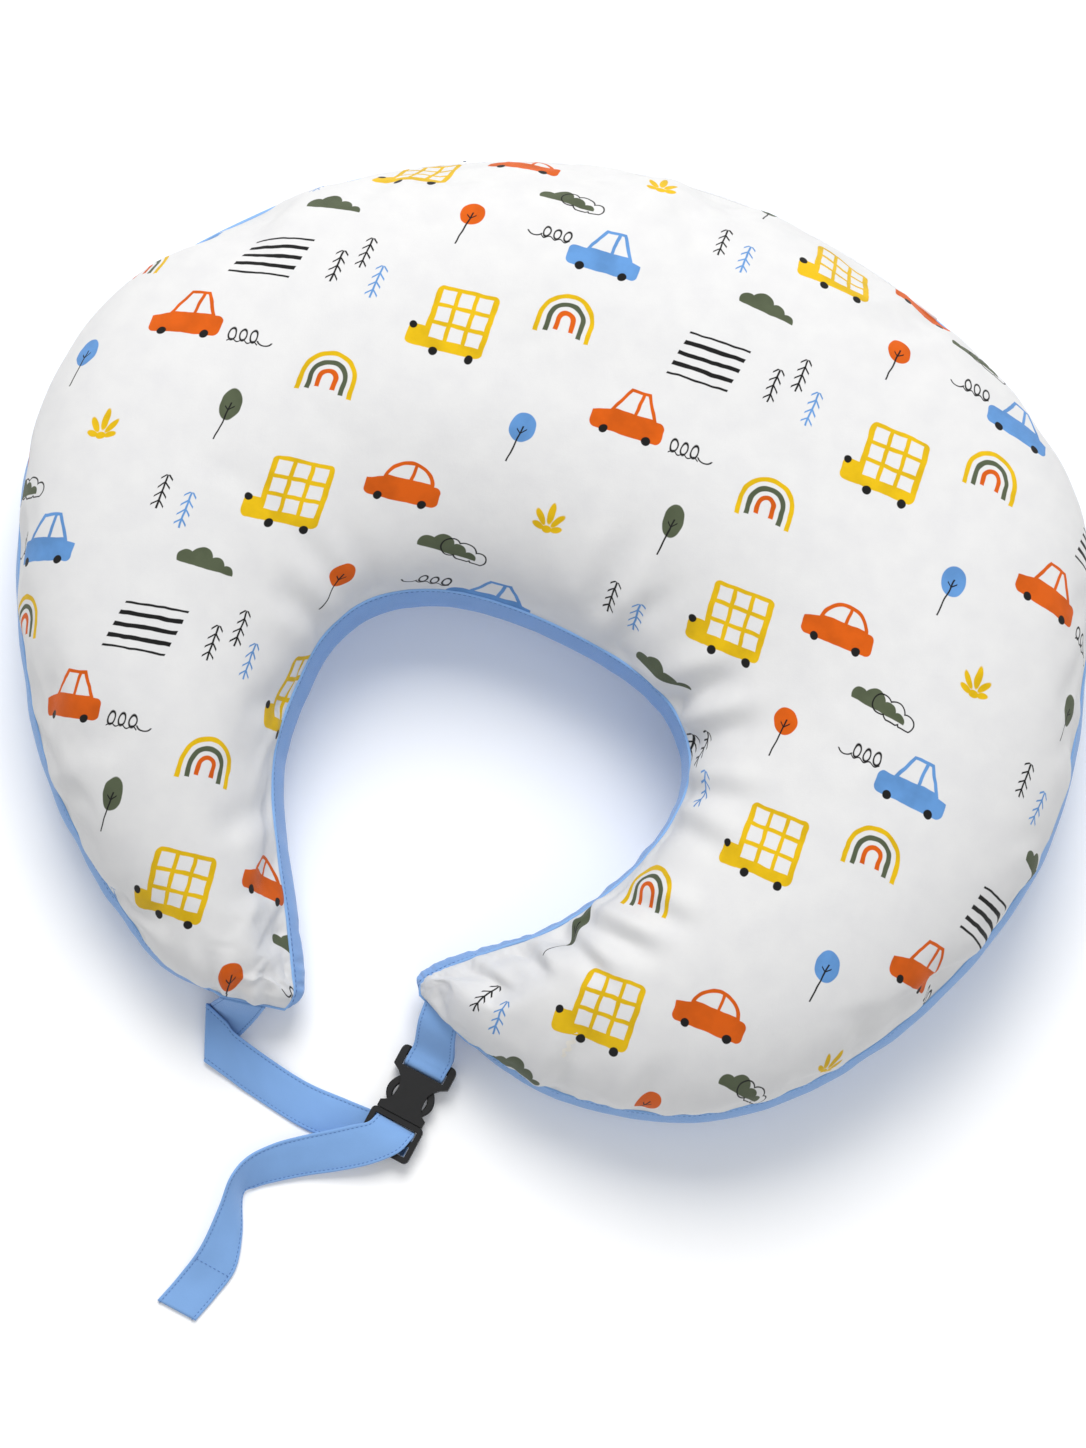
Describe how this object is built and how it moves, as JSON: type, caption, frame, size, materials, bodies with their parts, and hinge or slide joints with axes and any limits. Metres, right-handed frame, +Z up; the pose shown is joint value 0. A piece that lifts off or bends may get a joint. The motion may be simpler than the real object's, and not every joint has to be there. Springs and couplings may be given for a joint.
{
  "type": "nursing pillow",
  "caption": "C-shaped stuffed nursing pillow in a zipped two-panel cotton cover, closed round the waist by a fabric strap and a side-release buckle.",
  "frame": {"origin": "middle of the base: the centre of the whole object's plan box, on the surface it lies on", "axes": "+Z up, +Y towards the crown (the closed side of the C), +X across the pillow, the buckle's side"},
  "size_m": [0.6286, 0.7138, 0.1523],
  "materials": {
    "printed_cotton": "white plain-weave cotton with a coloured nursery print",
    "blue_cotton": "plain-weave cotton, dyed cornflower blue",
    "ticking": "unbleached cotton inner case",
    "fibre": "polyester hollow-fibre filling",
    "zip_cloth": "woven polyester zip tape",
    "zip_nylon": "nylon coil teeth",
    "zip_metal": "nickel-plated zinc, satin",
    "black_plastic": "moulded acetal, fine matt grain"
  },
  "bodies": {
    "pillow": {"cover_top_panel": "printed_cotton", "cover_back_panel": "blue_cotton", "inner_case_top_panel": "ticking", "inner_case_back_panel": "ticking", "fibre_fill": "fibre", "zip_tape_upper": "zip_cloth", "zip_tape_lower": "zip_cloth", "zip_coil_upper": "zip_nylon", "zip_coil_lower": "zip_nylon", "zip_top_stop_upper": "zip_metal", "zip_top_stop_lower": "zip_metal", "zip_end_stop": "zip_metal", "long_strap": "blue_cotton", "short_strap": "blue_cotton", "buckle_socket": "black_plastic"},
    "slider": {"zip_slider": "zip_metal"},
    "pull": {"zip_pull": "zip_metal"},
    "plug": {"buckle_plug": "black_plastic", "long_strap_tail": "blue_cotton"},
    "prong_left": {"plug_prong_left": "black_plastic"},
    "prong_right": {"plug_prong_right": "black_plastic"}
  },
  "joints": [
    {"name": "zip_run", "type": "hinge", "parent": "pillow", "child": "slider", "pos_m": [0.03055, -0.01329, 0.08816], "axis": [0, 0, -1], "range_deg": [0, 41]},
    {"name": "pull_flip", "type": "hinge", "parent": "slider", "child": "pull", "pos_m": [-0.16343, 0.29714, 0.08816], "axis": [0, 0, 1], "range_deg": [0, 165]},
    {"name": "buckle_release", "type": "slide", "parent": "pillow", "child": "plug", "axis": [0, -1, 0], "range_m": [0, 0.03], "deforming": ["plug_prong_left", "plug_prong_right"]},
    {"name": "prong_left_squeeze", "type": "hinge", "parent": "plug", "child": "prong_left", "pos_m": [0.04735, -0.19929, 0.0086], "axis": [0, 0, -1], "range_deg": [0, 9], "stiffness_Nm_per_rad": 0.5},
    {"name": "prong_right_squeeze", "type": "hinge", "parent": "plug", "child": "prong_right", "pos_m": [0.06575, -0.19929, 0.0086], "axis": [0, 0, 1], "range_deg": [0, 9], "stiffness_Nm_per_rad": 0.5}
  ]
}
